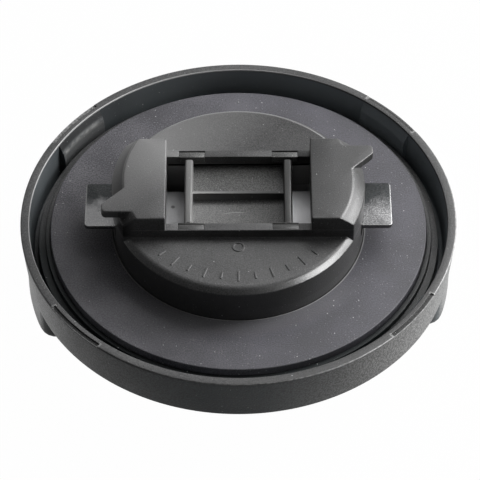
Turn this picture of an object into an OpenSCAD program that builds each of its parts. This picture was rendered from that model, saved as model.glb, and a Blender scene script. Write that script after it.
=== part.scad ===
// Bayonet oil filler cap, lying on its finger grip with the sealing side up.
// Origin: centre of the grip's flat face. +Z points out of the spigot, +X along the locking strip.
// All sizes are in millimetres.

/* [Rim and disc] */
// Outer diameter of the rim at its lip
rim_d = 78; // [74:0.5:90]
// How much smaller the skirt's radius is where it meets the disc face
skirt_draft = 0.8; // [0.2:0.1:1.2]
// Width of the flat lip of the rim
rim_w = 1.6; // [1.2:0.1:1.9]
// Height of the lip above the gasket's face
rim_h = 2.3; // [1.4:0.1:3.5]
// Chamfer along the outer edge of the lip
lip_chamfer = 0.25; // [0.1:0.05:0.4]
// Thickness of the disc under the gasket
plate_t = 4.8; // [4:0.1:7]
// How far the rim's inner wall leans in from the lip to the groove floor
wall_draft = 0.4; // [0.1:0.1:0.6]
// Depth of the groove beside the rim, below the gasket's face
groove_depth = 4.8; // [4:0.1:5.4]

/* [Gasket] */
// Distance from the inner edge of the lip to the flat rubber ring
gasket_inset = 3.7; // [3.5:0.1:5]
// Thickness of the ring
gasket_t = 2; // [1.6:0.1:3]
// Rounding of the ring's four edges
gasket_edge = 0.25; // [0.1:0.05:0.4]
// Gap between the ring and the spigot
gasket_gap = 0.25; // [0.1:0.05:0.5]
// Gap between the ring and the collar that keeps it central
collar_gap = 0.1; // [0.05:0.05:0.3]
// Width of that collar
collar_w = 0.85; // [0.6:0.05:1.1]
// How far the collar stands above the ring's seat
collar_h = 0.6; // [0.3:0.1:1]
// Width of the step outside the collar
step_w = 1.3; // [0.8:0.1:1.4]
// How far the step lies below the ring's seat
step_drop = 0.5; // [0.2:0.1:1]

/* [Spigot] */
// Diameter of the spigot that enters the filler neck
spigot_d = 44.8; // [43:0.2:48]
// Height of the spigot above the gasket's face
spigot_h = 7.4; // [6.8:0.1:12]
// Chamfer around the spigot's top
spigot_chamfer = 1; // [0.5:0.1:1.4]
// Thickness left under the pocket's floor
pocket_floor = 4.3; // [2:0.1:5]

/* [Bayonet wings] */
// Length across both wings along Y
wing_w = 19.5; // [18.5:0.5:22]
// Height of the wings above the spigot's top
wing_h = 4.9; // [4:0.1:6]
// How far the bevel runs in from the spigot's radius
bevel_run = 2.2; // [1.2:0.1:3]
// How far the bevel drops from the wing's top
bevel_drop = 1.9; // [1:0.1:2.5]
// How far a hook reaches beyond the spigot's radius
hook_reach = 1.6; // [0.8:0.1:2.4]
// Thickness of a hook
hook_t = 1.7; // [1.2:0.1:2.4]
// Distance from the wing's end to the hook's straight side
hook_setback = 1.75; // [1:0.05:2.5]
// Length of a hook's outer edge, along Y
hook_edge = 1.9; // [1.4:0.1:3]
// Rounding of a hook's tip
hook_tip_r = 0.9; // [0.4:0.1:1.2]
// Hollow fillet at a hook's root
hook_root_r = 1.4; // [1:0.1:3]

/* [Window frame] */
// Length of the window between the wings
window_l = 25.6; // [24:0.2:28]
// Width of the window between the rails
window_w = 16.2; // [15:0.2:17]
// Width of each rail
rail_w = 1.65; // [1.4:0.05:2]
// Height of the rails above the spigot's top
rail_h = 1.85; // [1.5:0.05:3]

/* [Locking strip] */
// Overall length of the steel strip
strip_l = 54.5; // [50:0.5:60]
// Width of the strip
strip_w = 10.3; // [8:0.1:12]
// Thickness of the strip
strip_t = 0.85; // [0.6:0.05:1.2]
// Height of the ears' upper face above the gasket's face
ear_h = 5.45; // [5:0.05:5.8]
// How far the strip's middle lies below its ears
strip_dip = 2.05; // [1.5:0.05:2.4]
// Length of the flat middle of the strip
strip_mid_l = 27.6; // [26:0.2:32]
// Length of each bend between the middle and an ear
strip_bend_l = 4.5; // [3:0.1:6]
// Corner rounding of the ears
ear_corner_r = 0.7; // [0.3:0.1:1.5]
// Clearance around the strip in its slot
slot_gap = 0.25; // [0.1:0.05:0.5]

/* [Retainer clip] */
// Distance between the centres of the two bars
bar_pitch = 17.6; // [16:0.1:19]
// Width of a bar
bar_w = 1.5; // [1:0.1:2]
// Rounding along a bar's top
bar_round = 0.45; // [0.2:0.05:0.6]
// How far the bars stay below the rails
bar_below = 0.1; // [0.05:0.05:0.3]
// Thickness of the web between the bars
web_t = 1.2; // [0.8:0.1:1.6]
// How far the web lies below the rails
web_below = 2.3; // [1.5:0.1:2.6]
// Width of the rib across the middle of the web
rib_w = 0.6; // [0.4:0.1:1.2]
// How far the rib's top lies below the rails
rib_below = 0.5; // [0.2:0.1:1]
// Length of a snap foot along the rail
foot_l = 4.6; // [3:0.1:6]
// Distance between the centres of the two feet on a rail
foot_pitch = 16.6; // [14:0.1:18]
// Depth of the rail's recess for a foot
foot_recess = 1.4; // [1.2:0.05:1.5]
// Thickness of the arm under a foot
foot_arm_t = 0.6; // [0.4:0.1:0.8]
// Thickness left in the rail outside a foot's recess
foot_wall = 0.2; // [0.15:0.05:0.4]
// Play of the clip between the two rails, on each side
clip_play = 0.15; // [0.05:0.05:0.3]
// Gap between a foot and the ends of its recess
foot_gap = 0.12; // [0.05:0.01:0.3]

/* [Finger grip] */
// Height of the grip bar
grip_h = 6.2; // [4:0.1:12]
// Width of the bar at its two ends
grip_w = 31.5; // [22:0.5:34]
// Width of the bar at its waist
grip_waist = 15; // [11:0.5:18]
// Rounding along the bar's edges
grip_edge = 1.6; // [0.8:0.1:2.5]
// Fillet between the bar and the disc
grip_fillet = 1; // [0.4:0.1:1.5]
// Turn of the bar from the locking strip, in degrees
grip_turn = 2.3; // [0:0.1:8]

/* [Rim notches and wall pads] */
// Angle of each notch from the bar's long axis
notch_angle = 40; // [30:0.5:50]
// Angle that each notch spans
notch_span = 18; // [10:0.5:24]
// How far a notch's floor lies below the lip's chamfer
notch_drop = 0.05; // [0.05:0.05:0.6]
// How far a wall pad stands in from the rim's wall
pad_in = 1.2; // [0.5:0.1:1.5]
// How far a wall pad's top lies below the lip
pad_below = 0.4; // [0.2:0.1:1]
// Height of a wall pad's sloping upper part
pad_slope_h = 3.4; // [2:0.1:4]

/* [Hidden] */
$fn = 96;

// Extra reach of a cutter past the surface it cuts
over = 1;
// How deep a fused feature starts inside its neighbour
root = 0.5;
// Steps in a quarter of a rounded corner
corner_steps = 6;
// Steps in one bend of the strip
bend_steps = 12;

// Heights above the resting face
disc_z = grip_h;
seat_z = disc_z + plate_t;
face_z = seat_z + gasket_t;
lip_z = face_z + rim_h;
groove_z = face_z - groove_depth;
spigot_z = face_z + spigot_h;
rail_z = spigot_z + rail_h;
wing_z = spigot_z + wing_h;
pocket_z = disc_z + pocket_floor;
ear_z = face_z + ear_h;
strip_mid_z = ear_z - strip_dip;

// Radii from the centre outwards
spigot_r = spigot_d / 2;
lip_r = rim_d / 2;
lip_in_r = lip_r - rim_w;
wall_foot_r = lip_in_r - wall_draft;
gasket_r = lip_in_r - gasket_inset;
collar_in_r = gasket_r + collar_gap;
collar_r = collar_in_r + collar_w;
step_r = collar_r + step_w;
skirt_r = lip_r - skirt_draft;
skirt_edge = 0.4;

// Wings and hooks
bevel_r = spigot_r - bevel_run;
hook_x = spigot_r + hook_reach;
hook_y = wing_w / 2 - hook_setback;
hook_inner_x = bevel_r - hook_root_r;

// The scoop on each side of the grip bar is an arc through its waist and both of its ends
end_x = sqrt(pow(skirt_r, 2) - pow(grip_w / 2, 2));
flare = (grip_w - grip_waist) / 2;
scoop_r = (pow(end_x, 2) + pow(flare, 2)) / (2 * flare);
scoop_y = grip_waist / 2 + scoop_r;

// Retainer clip
clip_foot_y = window_w / 2 + rail_w - foot_wall;
foot_out_y = clip_foot_y - clip_play;
foot_in_y = window_w / 2 + 2 * clip_play;
bar_y = window_w / 2 - clip_play;
recess_z = rail_z - foot_recess;

// Points on an arc about c, from angle a to angle b, in n steps
function arc(c, r, a, b, n) =
    [for (i = [0:n]) [c[0] + r * cos(a + (b - a) * i / n), c[1] + r * sin(a + (b - a) * i / n)]];

// Outline of a rectangle centred on the origin, with rounded corners
function rounded_rect(l, w, r) = concat(
    arc([l / 2 - r, w / 2 - r], r, 0, 90, corner_steps),
    arc([-l / 2 + r, w / 2 - r], r, 90, 180, corner_steps),
    arc([-l / 2 + r, -w / 2 + r], r, 180, 270, corner_steps),
    arc([l / 2 - r, -w / 2 + r], r, 270, 360, corner_steps));

// Disc, skirt, rim, groove, gasket seat and spigot turned from one profile
module turned_body() {
    rotate_extrude()
        polygon([
            [0, disc_z],
            [skirt_r - skirt_edge, disc_z],
            [skirt_r, disc_z + skirt_edge],
            [lip_r, lip_z - lip_chamfer],
            [lip_r - lip_chamfer, lip_z],
            [lip_in_r, lip_z],
            [wall_foot_r, groove_z],
            [step_r, groove_z],
            [step_r, seat_z - step_drop],
            [collar_r, seat_z - step_drop],
            [collar_r, seat_z + collar_h],
            [collar_in_r, seat_z + collar_h],
            [collar_in_r, seat_z],
            [spigot_r, seat_z],
            [spigot_r, spigot_z - spigot_chamfer],
            [spigot_r - spigot_chamfer, spigot_z],
            [0, spigot_z]
        ]);
}

// One side scoop of the finger grip: its wall flares into the bar's edge and into the disc
module grip_scoop() {
    translate([0, scoop_y, 0])
        rotate_extrude($fn = 360)
            polygon(concat(
                [[0, -over], [scoop_r + grip_edge, -over]],
                arc([scoop_r + grip_edge, grip_edge], grip_edge, 270, 180, corner_steps),
                arc([scoop_r - grip_fillet, disc_z - grip_fillet], grip_fillet, 0, 90, corner_steps),
                [[0, disc_z]]));
}

// Bar across the disc, flush with the skirt at both ends and waisted for the fingers
module grip_bar() {
    rotate([0, 0, grip_turn])
        difference() {
            rotate_extrude()
                polygon(concat(
                    [[0, 0]],
                    arc([skirt_r - grip_edge, grip_edge], grip_edge, 270, 360, corner_steps),
                    [[skirt_r, disc_z + skirt_edge], [0, disc_z + skirt_edge]]));
            grip_scoop();
            rotate([0, 0, 180]) grip_scoop();
        }
}

// Outline of a hook as seen from above, on the wing at +X
module hook_outline() {
    slope_y = hook_y - hook_edge - (hook_x - bevel_r);
    polygon(concat(
        [[hook_inner_x, slope_y - hook_root_r]],
        arc([bevel_r + hook_root_r, slope_y - hook_root_r * tan(22.5)], hook_root_r, 180, 135, corner_steps),
        arc([hook_x - hook_tip_r, hook_y - hook_edge + hook_tip_r * tan(22.5)], hook_tip_r, -45, 0, corner_steps),
        arc([hook_x - hook_tip_r, hook_y - hook_tip_r], hook_tip_r, 0, 90, corner_steps),
        [[hook_inner_x, hook_y]]));
}

// Wing at +X: a slice of the spigot carried up, bevelled at its top, with its hook
module wing() {
    intersection() {
        rotate_extrude()
            polygon([
                [0, spigot_z - spigot_chamfer - root],
                [spigot_r, spigot_z - spigot_chamfer - root],
                [spigot_r, wing_z - bevel_drop],
                [bevel_r, wing_z],
                [0, wing_z]
            ]);
        translate([window_l / 2, -wing_w / 2, 0])
            cube([spigot_r, wing_w, wing_z + over]);
    }
    translate([0, 0, wing_z - hook_t])
        linear_extrude(height = hook_t) hook_outline();
}

// Rail along one side of the window, with a recess for each snap foot of the clip
module rail() {
    difference() {
        translate([-window_l / 2 - root, window_w / 2, spigot_z - root])
            cube([window_l + 2 * root, rail_w, rail_h + root]);
        for (s = [-1, 1])
            translate([s * foot_pitch / 2 - foot_l / 2 - foot_gap, window_w / 2 - over, recess_z])
                cube([foot_l + 2 * foot_gap, clip_foot_y - window_w / 2 + over, foot_recess + over]);
    }
}

// Places its child at each of the four marks around the rim
module at_marks() {
    for (a = [notch_angle, 180 - notch_angle, 180 + notch_angle, -notch_angle])
        rotate([0, 0, grip_turn + a - notch_span / 2]) children();
}

// Pad on the rim's inner wall: a slope that runs into an upright face
module wall_pad() {
    rotate_extrude(angle = notch_span)
        polygon([
            [lip_in_r + root, lip_z - pad_below],
            [lip_in_r - wall_draft * pad_below / (lip_z - groove_z), lip_z - pad_below],
            [lip_in_r - pad_in, lip_z - pad_below - pad_slope_h],
            [lip_in_r - pad_in, groove_z - root],
            [lip_in_r + root, groove_z - root]
        ]);
}

// Shallow step cut in the outer half of the lip
module rim_notch() {
    depth = lip_chamfer + notch_drop;
    rotate_extrude(angle = notch_span)
        translate([lip_r - rim_w / 2, lip_z - depth])
            square([rim_w / 2 + over, depth + over]);
}

// The whole moulding: disc, rim, spigot, wings, window frame and finger grip
module cap_body() {
    color([0.13, 0.13, 0.135])
    difference() {
        union() {
            turned_body();
            grip_bar();
            for (a = [0, 180])
                rotate([0, 0, a]) {
                    wing();
                    rail();
                }
            at_marks() wall_pad();
        }
        at_marks() rim_notch();
        // pocket behind the window
        translate([-window_l / 2, -window_w / 2, pocket_z])
            cube([window_l, window_w, rail_z]);
        // slot that the strip passes through
        translate([-spigot_r - over, -strip_w / 2 - slot_gap, strip_mid_z - strip_t])
            cube([2 * (spigot_r + over), strip_w + 2 * slot_gap, strip_dip + strip_t + slot_gap]);
    }
}

// Flat rubber ring with rounded edges
module gasket() {
    in_r = spigot_r + gasket_gap;
    color([0.2, 0.2, 0.205])
    rotate_extrude()
        translate([in_r, seat_z])
            polygon(concat(
                arc([gasket_r - in_r - gasket_edge, gasket_edge], gasket_edge, 270, 360, corner_steps),
                arc([gasket_r - in_r - gasket_edge, gasket_t - gasket_edge], gasket_edge, 0, 90, corner_steps),
                arc([gasket_edge, gasket_t - gasket_edge], gasket_edge, 90, 180, corner_steps),
                arc([gasket_edge, gasket_edge], gasket_edge, 180, 270, corner_steps)));
}

// Height of the strip's upper face at a distance x from its centre
function strip_top(x) =
    let (u = min(max((abs(x) - strip_mid_l / 2) / strip_bend_l, 0), 1))
    strip_mid_z + strip_dip * (1 - cos(180 * u)) / 2;

// Bent steel strip: flat in the middle, raised at both ears
module locking_strip() {
    bend = [for (i = [0:bend_steps]) strip_mid_l / 2 + strip_bend_l * i / bend_steps];
    half = concat(bend, [strip_l / 2]);
    last = len(half) - 1;
    xs = concat([for (i = [0:last]) -half[last - i]], half);
    color([0.28, 0.28, 0.29])
    intersection() {
        rotate([90, 0, 0])
            translate([0, 0, -strip_w / 2])
                linear_extrude(height = strip_w)
                    polygon(concat(
                        [for (x = xs) [x, strip_top(x)]],
                        [for (i = [len(xs) - 1:-1:0]) [xs[i], strip_top(xs[i]) - strip_t]]));
        translate([0, 0, strip_mid_z - strip_t - over])
            linear_extrude(height = strip_dip + strip_t + 2 * over)
                polygon(rounded_rect(strip_l, strip_w, ear_corner_r));
    }
}

// Bar of the clip: it stands on the strip and its top edges are rounded
module clip_bar() {
    bar_h = rail_z - bar_below - strip_mid_z;
    rotate([90, 0, 0])
        translate([0, strip_mid_z, -bar_y])
            linear_extrude(height = 2 * bar_y)
                polygon(concat(
                    [[-bar_w / 2, 0], [bar_w / 2, 0]],
                    arc([bar_w / 2 - bar_round, bar_h - bar_round], bar_round, 0, 90, corner_steps),
                    arc([-bar_w / 2 + bar_round, bar_h - bar_round], bar_round, 90, 180, corner_steps)));
}

// Snap foot at the +Y end of a bar: a low arm into the rail's recess and an upright lip
module clip_foot() {
    translate([-foot_l / 2, bar_y - root, recess_z])
        cube([foot_l, foot_out_y - bar_y + root, foot_arm_t]);
    translate([-foot_l / 2, foot_in_y, recess_z])
        cube([foot_l, foot_out_y - foot_in_y, foot_recess - bar_below]);
}

// H-shaped plastic clip that keeps the strip in the spigot, pushed to the front of its play
module retainer_clip() {
    web_z = rail_z - web_below;
    color([0.17, 0.17, 0.17])
    translate([0, -clip_play, 0]) {
        translate([-bar_pitch / 2, -bar_y, web_z - web_t])
            cube([bar_pitch, 2 * bar_y, web_t]);
        translate([-bar_pitch / 2, -rib_w / 2, web_z - root])
            cube([bar_pitch, rib_w, web_below - rib_below + root]);
        for (s = [-1, 1])
            translate([s * bar_pitch / 2, 0, 0]) clip_bar();
        for (s = [-1, 1])
            translate([s * foot_pitch / 2, 0, 0]) {
                clip_foot();
                mirror([0, 1, 0]) clip_foot();
            }
    }
}

cap_body();
gasket();
locking_strip();
retainer_clip();
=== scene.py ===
# %% [markdown]
# # An oil filler cap, lying upside down on its finger grip
#
# The cap is one black nylon moulding with a rubber ring, a bent steel strip and a small plastic clip.
# It lies with its sealing side up, so the camera looks into the rim and at the two bayonet wings.
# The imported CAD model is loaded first. It fixes every place and size, and each piece made here
# stands exactly where its CAD node stands, with finer roundings, fillets and surface finish.

import math

import bpy
from mathutils import Matrix, Vector


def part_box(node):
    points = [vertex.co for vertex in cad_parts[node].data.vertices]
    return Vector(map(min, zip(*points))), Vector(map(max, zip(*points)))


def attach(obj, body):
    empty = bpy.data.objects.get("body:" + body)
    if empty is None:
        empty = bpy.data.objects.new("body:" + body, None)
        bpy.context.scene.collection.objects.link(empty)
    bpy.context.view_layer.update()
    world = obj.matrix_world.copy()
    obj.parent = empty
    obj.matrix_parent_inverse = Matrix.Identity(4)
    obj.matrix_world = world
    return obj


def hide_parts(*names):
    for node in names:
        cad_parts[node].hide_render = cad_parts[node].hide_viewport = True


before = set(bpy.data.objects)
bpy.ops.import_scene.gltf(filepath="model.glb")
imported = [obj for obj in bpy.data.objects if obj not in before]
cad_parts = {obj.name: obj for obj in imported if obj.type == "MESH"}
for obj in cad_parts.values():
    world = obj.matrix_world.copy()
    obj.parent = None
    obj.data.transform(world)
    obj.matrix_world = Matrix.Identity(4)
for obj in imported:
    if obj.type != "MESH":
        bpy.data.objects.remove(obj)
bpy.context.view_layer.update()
MM = 0.001
WELD = 0.001 * MM

# %% [markdown]
# ## Sizes taken from the frame
#
# The boxes of the four CAD nodes give the main heights and reaches. A maker would read the same
# figures from the drawing before turning a mould. The smaller sizes are named where they are used.

# %% Heights and reaches of the four nodes
body_low, body_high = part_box("cap_body")
ring_low, ring_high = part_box("gasket")
strip_low, strip_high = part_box("locking_strip")
clip_low, clip_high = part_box("retainer_clip")

seat_z = ring_low.z
face_z = ring_high.z
wing_z = body_high.z
ear_z = strip_high.z
strip_base_z = strip_low.z
lip_r = min(body_high.x, body_high.y, -body_low.x, -body_low.y)
ring_r = ring_high.x
print("gasket face at", round(face_z / MM, 2), "mm, wings at", round(wing_z / MM, 2), "mm")

# %% [markdown]
# ## Helpers for working as by hand
#
# An operator acts on everything that is selected, so each helper starts from nothing selected.
# Round shapes are turned: one outline is drawn point by point and spun about the upright axis.
# Flat shapes start as a block. Pieces of one moulding are then fused with a boolean modifier.

# %% Selecting, applying and fusing
def pick_only(piece):
    if bpy.context.object and bpy.context.object.mode != "OBJECT":
        bpy.ops.object.mode_set(mode="OBJECT")
    bpy.ops.object.select_all(action="DESELECT")
    piece.select_set(True)
    bpy.context.view_layer.objects.active = piece


def apply_modifier(piece, kind, **settings):
    pick_only(piece)
    modifier = piece.modifiers.new(kind.title(), kind)
    for setting, value in settings.items():
        setattr(modifier, setting, value)
    bpy.ops.object.modifier_apply(modifier=modifier.name)


def fuse(piece, other, operation="UNION"):
    apply_modifier(piece, "BOOLEAN", object=other, operation=operation, solver="EXACT")
    bpy.data.objects.remove(other)


def cut(piece, cutter):
    fuse(piece, cutter, "DIFFERENCE")


def round_edges(piece, width, segments=3, sharper_than=35):
    apply_modifier(piece, "BEVEL", width=width, segments=segments, limit_method="ANGLE",
                   angle_limit=math.radians(sharper_than), use_clamp_overlap=False)


def tidy_mesh(piece, closer_than=0.003 * MM):
    pick_only(piece)
    bpy.ops.object.mode_set(mode="EDIT")
    bpy.ops.mesh.select_all(action="SELECT")
    bpy.ops.mesh.remove_doubles(threshold=closer_than)
    bpy.ops.mesh.normals_make_consistent(inside=False)
    bpy.ops.object.mode_set(mode="OBJECT")


def shade(piece, flatter_than=32):
    pick_only(piece)
    bpy.ops.object.shade_smooth_by_angle(angle=math.radians(flatter_than))
    print(piece.name, "has", len(piece.data.polygons), "faces")


print("the helpers that select and fuse are ready")

# %% Drawing an outline with rounded corners
def rounded(corners, steps=5):
    """Each corner is (x, z, rounding). A rounding above 0 becomes a short arc."""
    outline = []
    for place, (x, z, radius) in enumerate(corners):
        here = Vector((x, z))
        if radius == 0:
            outline.append(here)
            continue
        back = (Vector(corners[place - 1][:2]) - here).normalized()
        ahead = (Vector(corners[(place + 1) % len(corners)][:2]) - here).normalized()
        half = back.angle(ahead) / 2
        centre = here + (back + ahead).normalized() * radius / math.sin(half)
        first = here + back * radius / math.tan(half) - centre
        last = here + ahead * radius / math.tan(half) - centre
        sweep = math.atan2(first.cross(last), first.dot(last))
        for step in range(steps + 1):
            turn = sweep * step / steps
            outline.append(centre + Vector((first.x * math.cos(turn) - first.y * math.sin(turn),
                                            first.x * math.sin(turn) + first.y * math.cos(turn))))
    return outline


def draw(name, points):
    """A chain of edges through points, extruded one point at a time from a single vertex."""
    bpy.ops.object.select_all(action="DESELECT")
    bpy.ops.mesh.primitive_plane_add(size=MM, location=(0, 0, 0))
    piece = bpy.context.object
    piece.name = name
    bpy.ops.object.mode_set(mode="EDIT")
    bpy.ops.mesh.merge(type="CENTER")
    bpy.ops.transform.translate(value=points[0])
    for here, there in zip(points, points[1:]):
        bpy.ops.mesh.extrude_region_move(TRANSFORM_OT_translate={"value": there - here})
    bpy.ops.mesh.select_all(action="SELECT")
    return piece


print("the helpers that draw are ready")

# %% Turning, sweeping and stacking
STEPS_AROUND = 256


def turned(name, corners, steps=STEPS_AROUND):
    """A full turn of an outline that starts and ends on the axis, or closes on itself."""
    points = [Vector((p.x, 0, p.y)) for p in rounded(corners)]
    if points[0].x > 0:
        points.append(points[0])
    piece = draw(name, points)
    bpy.ops.mesh.spin(steps=steps, angle=math.tau, center=(0, 0, 0), axis=(0, 0, 1))
    tidy_mesh(piece, WELD)
    return piece


def turned_part(name, corners, start, span, steps=24):
    """A closed outline swept through span degrees, starting at start degrees. Spin turns clockwise."""
    points = [Vector((p.x, 0, p.y)) for p in rounded(corners)]
    piece = draw(name, points)
    bpy.ops.mesh.edge_face_add()
    bpy.ops.mesh.spin(steps=steps, angle=math.radians(span), center=(0, 0, 0), axis=(0, 0, 1))
    tidy_mesh(piece, WELD)
    turn_about_axis(piece, start + span)
    return piece


def turn_about_axis(piece, degrees):
    pick_only(piece)
    piece.rotation_euler.z = math.radians(degrees)
    bpy.ops.object.transform_apply(location=True, rotation=True, scale=True)


def block(name, low, high):
    bpy.ops.object.select_all(action="DESELECT")
    low, high = Vector(low), Vector(high)
    bpy.ops.mesh.primitive_cube_add(size=1, location=(low + high) / 2, scale=high - low)
    bpy.ops.object.transform_apply(location=True, rotation=True, scale=True)
    bpy.context.object.name = name
    return bpy.context.object


def plate(name, points, low_z, high_z):
    """A flat shape seen from above, filled and extruded upwards."""
    piece = draw(name, [Vector((p.x, p.y, low_z)) for p in points])
    bpy.ops.mesh.edge_face_add()
    bpy.ops.mesh.extrude_region_move(TRANSFORM_OT_translate={"value": (0, 0, high_z - low_z)})
    tidy_mesh(piece, WELD)
    return piece


def bevel_where(piece, chosen, width, segments):
    """Rounds each edge whose two ends are both chosen."""
    pick_only(piece)
    for kind in (piece.data.polygons, piece.data.edges, piece.data.vertices):
        kind.foreach_set("select", [False] * len(kind))
    for edge in piece.data.edges:
        edge.select = all(chosen(piece.data.vertices[end].co) for end in edge.vertices)
    bpy.ops.object.mode_set(mode="EDIT")
    bpy.ops.mesh.select_mode(type="EDGE")
    bpy.ops.mesh.bevel(offset=width, segments=segments)
    bpy.ops.mesh.select_mode(type="VERT")
    bpy.ops.object.mode_set(mode="OBJECT")


def half_turn_copy(piece):
    """The same piece on the other side of the axis, with its own mesh."""
    pick_only(piece)
    bpy.ops.object.duplicate(linked=False)
    copy = bpy.context.object
    turn_about_axis(copy, 180)
    return copy


print("the helpers that turn, sweep and stack are ready")

# %% [markdown]
# ## The moulding's turned body
#
# Disc, skirt, rim, groove, gasket seat and spigot are all round about one axis, so the real mould
# is turned on a lathe. One outline gives them all. Each corner has the small rounding that a
# polished mould leaves, and the spigot's top edge has a softened chamfer.

# %% Turn the disc, the rim and the spigot
disc_z = 6.2 * MM
skirt_r = lip_r - 0.8 * MM
lip_z = face_z + 2.3 * MM
lip_in_r = lip_r - 1.6 * MM
groove_z = face_z - 4.8 * MM
wall_foot_r = lip_in_r - 0.4 * MM
sunk = 0.5 * MM
collar_in_r = ring_r + 0.1 * MM
collar_r = collar_in_r + 0.85 * MM
step_r = collar_r + 1.3 * MM
step_z = seat_z - 0.5 * MM
collar_z = seat_z + 0.6 * MM
spigot_r = 22.4 * MM
spigot_z = face_z + 7.4 * MM
spigot_chamfer = 1.0 * MM

cap = turned("cap_moulding", [
    (0, disc_z, 0),
    (skirt_r, disc_z, 0.4 * MM),
    (lip_r, lip_z, 0.25 * MM),
    (lip_in_r, lip_z, 0.15 * MM),
    (wall_foot_r, groove_z, 0.4 * MM),
    (step_r, groove_z, 0.3 * MM),
    (step_r, step_z, 0.15 * MM),
    (collar_r, step_z, 0.1 * MM),
    (collar_r, collar_z, 0.15 * MM),
    (collar_in_r, collar_z, 0.1 * MM),
    (collar_in_r, seat_z, 0),
    (spigot_r, seat_z, 0),
    (spigot_r, spigot_z - spigot_chamfer, 0.3 * MM),
    (spigot_r - spigot_chamfer, spigot_z, 1.2 * MM),
    (0, spigot_z, 0),
])
print("turned body", len(cap.data.vertices), "points")

# %% [markdown]
# ## The finger grip underneath
#
# On the far side a bar crosses the disc, waisted so that two fingers can turn the cap. Its ends
# are flush with the skirt and show as two dark lugs. Seen from below it is an outline of four
# arcs with rounded corners. The outline is extruded up into the disc, and the edge that the
# fingers touch gets a round bevel.

# %% Draw the grip's outline and extrude it
grip_edge = 1.6 * MM
grip_corner = 3.0 * MM
grip_turn = 2.3
grip_half_end = 15.75 * MM
grip_half_waist = 7.5 * MM
corner_room = 4.5 * MM
past = 1.5 * MM

flare = grip_half_end - grip_half_waist
end_x = math.sqrt(skirt_r ** 2 - grip_half_end ** 2)
scoop_r = (end_x ** 2 + flare ** 2) / (2 * flare)
end_turn = math.asin(grip_half_end / skirt_r) - corner_room / skirt_r
scoop_turn = math.asin(end_x / scoop_r) - corner_room / scoop_r


def even_steps(first, last, steps):
    return [first + (last - first) * step / steps for step in range(steps + 1)]


half = [(skirt_r * math.cos(a), skirt_r * math.sin(a), 0) for a in even_steps(-end_turn, end_turn, 24)]
half.append((end_x, grip_half_end, grip_corner))
half += [(scoop_r * math.sin(a), grip_half_waist + scoop_r * (1 - math.cos(a)), 0)
         for a in even_steps(scoop_turn, -scoop_turn, 40)]
half.append((-end_x, grip_half_end, grip_corner))
grip = plate("grip", rounded(half + [(-x, -y, r) for x, y, r in half]), 0, disc_z + sunk)
bevel_where(grip, lambda point: point.z < 0.1 * MM, grip_edge, 6)
turn_about_axis(grip, grip_turn)
fuse(cap, grip)
print("grip fused,", len(cap.data.polygons), "faces so far")

# %% [markdown]
# ## Pads and notches around the rim
#
# Four sloping pads stand on the rim's inner wall, and beside each one the outer half of the lip
# has a shallow step. They lie in mirror pairs about the grip's axis. Each is an outline swept
# through a short arc. The pads are fused with the wall and the notches are cut.

# %% Sweep the pads and cut the notches
notch_span = 18
notch_depth = 0.25 * MM
pad_in = 1.2 * MM
pad_top_z = lip_z - 0.4 * MM
pad_slope = 3.4 * MM
pad_bulge = 0.35 * MM
pad_step = 0.03 * MM
notch_in_r = lip_r - 0.8 * MM
mark_angles = [grip_turn + a - notch_span / 2 for a in (40, 140, 220, 320)]

for angle in mark_angles:
    pad = turned_part("pad", [
        (lip_in_r + sunk, pad_top_z, 0),
        (lip_in_r - pad_step, pad_top_z, 0),
        (lip_in_r - pad_in / 2 - pad_bulge, pad_top_z - pad_slope / 2, 1.6 * MM),
        (lip_in_r - pad_in, pad_top_z - pad_slope, 0.6 * MM),
        (lip_in_r - pad_in, groove_z - sunk, 0),
        (lip_in_r + sunk, groove_z - sunk, 0),
    ], angle, notch_span)
    fuse(cap, pad)
    notch = turned_part("notch", [
        (notch_in_r, lip_z - notch_depth, 0),
        (lip_r + past, lip_z - notch_depth, 0),
        (lip_r + past, lip_z + past, 0),
        (notch_in_r, lip_z + past, 0),
    ], angle, notch_span)
    cut(cap, notch)
print("rim marks at", mark_angles)

# %% [markdown]
# ## The window and its pocket
#
# The spigot is hollow in its middle, where the clip holds the steel strip. The pocket is a plain
# box taken out of the turned body before the wings are put on, so that both share one flat wall.

# %% Cut the pocket
window_x = 12.8 * MM
window_y = 8.1 * MM
pocket_z = disc_z + 4.3 * MM
cut(cap, block("pocket", (-window_x, -window_y, pocket_z), (window_x, window_y, wing_z)))
print("pocket floor at", round(pocket_z / MM, 2), "mm")

# %% [markdown]
# ## The two bayonet wings
#
# Each wing is a slice of the spigot carried up and bevelled at its top, with a hook on one side
# that catches behind the filler neck's cam. A turned tower is trimmed by three flat cuts, the hook
# is a small plate drawn from above, and all their edges are then broken together. The second wing
# is a copy turned by half a turn, as on the real cap.

# %% Draw the hook's outline
wing_y = 9.75 * MM
bevel_r = spigot_r - 2.2 * MM
bevel_z = wing_z - 1.9 * MM
hook_x = spigot_r + 1.6 * MM
hook_y = wing_y - 1.75 * MM
hook_edge = 1.9 * MM
hook_t = 1.7 * MM
hook_tip = 0.9 * MM
wing_edge = 0.2 * MM
inside_x = bevel_r - 3 * MM
slope_y = hook_y - hook_edge - (hook_x - inside_x)

hook_outline = rounded([
    (inside_x, slope_y, 0),
    (hook_x, hook_y - hook_edge, hook_tip),
    (hook_x, hook_y, hook_tip),
    (inside_x, hook_y, 0),
], steps=8)
print("hook reaches", round(hook_x / MM, 2), "mm from the axis")

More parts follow.
